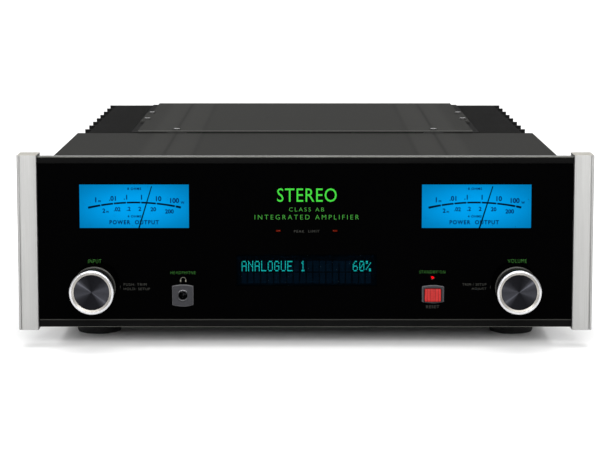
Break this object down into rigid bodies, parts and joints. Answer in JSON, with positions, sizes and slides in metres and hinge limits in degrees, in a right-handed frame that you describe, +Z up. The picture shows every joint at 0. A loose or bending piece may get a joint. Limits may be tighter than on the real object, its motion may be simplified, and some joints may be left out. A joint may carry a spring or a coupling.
{
  "type": "integrated amplifier",
  "caption": "Full-width stereo integrated amplifier with a black glass front, bright end caps, blue power meters, turning knobs, a push button and side heatsinks.",
  "frame": {"origin": "centre of the overall box at the plane the feet stand on", "axes": "+Z up, front faces -Y, +Y to the rear along the depth, +X to the right of somebody facing the front"},
  "size_m": [0.4444, 0.5092, 0.1522],
  "materials": {
    "bright_aluminium": "satin brushed",
    "olive_anodised": "satin anodised",
    "dark_trim": "gloss black anodised",
    "black_glass": "gloss back-printed",
    "clear_glass": "clear gloss",
    "zinc_steel": "zinc plated",
    "black_case": "satin powder coat",
    "black_panel": "satin powder coat",
    "black_anodised": "matt black anodised",
    "knob_black": "spun black anodised",
    "knob_silver": "turned and polished",
    "shaft_steel": "ground",
    "moulded_black": "fine texture",
    "moulded_white": "satin",
    "bezel_grey": "satin",
    "button_red": "translucent ribbed",
    "meter_blue": "emissive back-lit",
    "meter_ink": "printed ink",
    "needle_black": "matt",
    "display_tube": "dark filter glass",
    "display_teal": "emissive dots",
    "legend_green": "emissive back-lit print",
    "legend_grey": "printed ink",
    "legend_white": "printed ink",
    "lamp_red": "emissive lens",
    "circuit_green": "solder mask",
    "transformer_steel": "lacquered winding and core",
    "capacitor_sleeve": "shrink sleeve",
    "package_epoxy": "moulded epoxy",
    "wire_insulation": "PVC",
    "gold_plate": "gold plated",
    "post_red": "moulded",
    "post_black": "moulded",
    "screw_black": "black zinc",
    "foot_black": "matt"
  },
  "bodies": {
    "chassis": {"end_cap_left": "bright_aluminium", "end_cap_right": "bright_aluminium", "front_glass": "black_glass", "top_trim": "olive_anodised", "bottom_trim": "dark_trim", "front_subpanel": "zinc_steel", "meter_housings": "moulded_white", "meter_scale_left": "meter_blue", "meter_scale_right": "meter_blue", "meter_movements": "moulded_black", "meter_light_boards": "circuit_green", "display_module": "display_tube", "indicator_lamps": "lamp_red", "control_board": "circuit_green", "encoders": "shaft_steel", "headphone_bezel": "bezel_grey", "headphone_jack": "moulded_black", "standby_bezel": "bezel_grey", "base_plate": "black_panel", "side_panel_left": "black_case", "side_panel_right": "black_case", "bulkhead": "black_panel", "front_cover": "black_case", "rear_cover": "black_case", "rear_panel": "black_panel", "heatsink_left": "black_anodised", "heatsink_right": "black_anodised", "chassis_screws": "screw_black", "feet": "foot_black", "foot_screws": "zinc_steel", "power_transformer": "transformer_steel", "power_supply_board": "circuit_green", "filter_capacitors": "capacitor_sleeve", "output_transistors": "package_epoxy", "driver_boards": "circuit_green", "preamp_board": "circuit_green", "digital_board": "circuit_green", "signal_sockets": "gold_plate", "speaker_posts": "gold_plate", "mains_inlet": "moulded_black", "wiring": "wire_insulation"},
    "input_push": {"input_push_plunger": "moulded_white"},
    "input_turn": {"input_knob": "knob_black", "input_knob_ring": "knob_silver", "input_shaft": "shaft_steel"},
    "volume_push": {"volume_push_plunger": "moulded_white"},
    "volume_turn": {"volume_knob": "knob_black", "volume_knob_ring": "knob_silver", "volume_shaft": "shaft_steel"},
    "standby": {"standby_button": "button_red"},
    "needle_left": {"meter_needle_left": "needle_black"},
    "needle_right": {"meter_needle_right": "needle_black"},
    "post_slide_left_negative": {"post_washer_left_negative": "gold_plate"},
    "post_turn_left_negative": {"post_cap_left_negative": "post_black"},
    "post_slide_left_positive": {"post_washer_left_positive": "gold_plate"},
    "post_turn_left_positive": {"post_cap_left_positive": "post_red"},
    "post_slide_right_negative": {"post_washer_right_negative": "gold_plate"},
    "post_turn_right_negative": {"post_cap_right_negative": "post_black"},
    "post_slide_right_positive": {"post_washer_right_positive": "gold_plate"},
    "post_turn_right_positive": {"post_cap_right_positive": "post_red"}
  },
  "joints": [
    {"name": "input_push_slide", "type": "slide", "parent": "chassis", "child": "input_push", "axis": [0, 1, 0], "range_m": [0, 0.0008], "stiffness_N_per_m": 3000, "springref_m": -0.0004},
    {"name": "input_knob_turn", "type": "hinge", "parent": "input_push", "child": "input_turn", "pos_m": [-0.1636, -0.233, 0.0477], "axis": [0, 1, 0], "continuous": true},
    {"name": "volume_push_slide", "type": "slide", "parent": "chassis", "child": "volume_push", "axis": [0, 1, 0], "range_m": [0, 0.0008], "stiffness_N_per_m": 3000, "springref_m": -0.0004},
    {"name": "volume_knob_turn", "type": "hinge", "parent": "volume_push", "child": "volume_turn", "pos_m": [0.1636, -0.233, 0.0477], "axis": [0, 1, 0], "continuous": true},
    {"name": "standby_button_slide", "type": "slide", "parent": "chassis", "child": "standby", "axis": [0, 1, 0], "range_m": [0, 0.0025], "stiffness_N_per_m": 700, "springref_m": -0.0006},
    {"name": "needle_left_swing", "type": "hinge", "parent": "chassis", "child": "needle_left", "pos_m": [-0.1324, -0.221, 0.083], "axis": [0, 1, 0], "range_deg": [-67, 33]},
    {"name": "needle_right_swing", "type": "hinge", "parent": "chassis", "child": "needle_right", "pos_m": [0.1324, -0.221, 0.083], "axis": [0, 1, 0], "range_deg": [-67, 33]},
    {"name": "post_left_negative_slide", "type": "slide", "parent": "chassis", "child": "post_slide_left_negative", "axis": [0, 1, 0], "range_m": [0, 0.003]},
    {"name": "post_left_negative_turn", "type": "hinge", "parent": "post_slide_left_negative", "child": "post_turn_left_negative", "pos_m": [-0.112, 0.2395, 0.05], "axis": [0, 1, 0], "range_deg": [0, 1080]},
    {"name": "post_left_positive_slide", "type": "slide", "parent": "chassis", "child": "post_slide_left_positive", "axis": [0, 1, 0], "range_m": [0, 0.003]},
    {"name": "post_left_positive_turn", "type": "hinge", "parent": "post_slide_left_positive", "child": "post_turn_left_positive", "pos_m": [-0.08, 0.2395, 0.05], "axis": [0, 1, 0], "range_deg": [0, 1080]},
    {"name": "post_right_negative_slide", "type": "slide", "parent": "chassis", "child": "post_slide_right_negative", "axis": [0, 1, 0], "range_m": [0, 0.003]},
    {"name": "post_right_negative_turn", "type": "hinge", "parent": "post_slide_right_negative", "child": "post_turn_right_negative", "pos_m": [-0.028, 0.2395, 0.05], "axis": [0, 1, 0], "range_deg": [0, 1080]},
    {"name": "post_right_positive_slide", "type": "slide", "parent": "chassis", "child": "post_slide_right_positive", "axis": [0, 1, 0], "range_m": [0, 0.003]},
    {"name": "post_right_positive_turn", "type": "hinge", "parent": "post_slide_right_positive", "child": "post_turn_right_positive", "pos_m": [0.004, 0.2395, 0.05], "axis": [0, 1, 0], "range_deg": [0, 1080]}
  ],
  "couplings": [
    {"joint": "post_left_negative_slide", "follows": "post_left_negative_turn", "m_per_rad": 0.00015915},
    {"joint": "post_left_positive_slide", "follows": "post_left_positive_turn", "m_per_rad": 0.00015915},
    {"joint": "post_right_negative_slide", "follows": "post_right_negative_turn", "m_per_rad": 0.00015915},
    {"joint": "post_right_positive_slide", "follows": "post_right_positive_turn", "m_per_rad": 0.00015915}
  ]
}
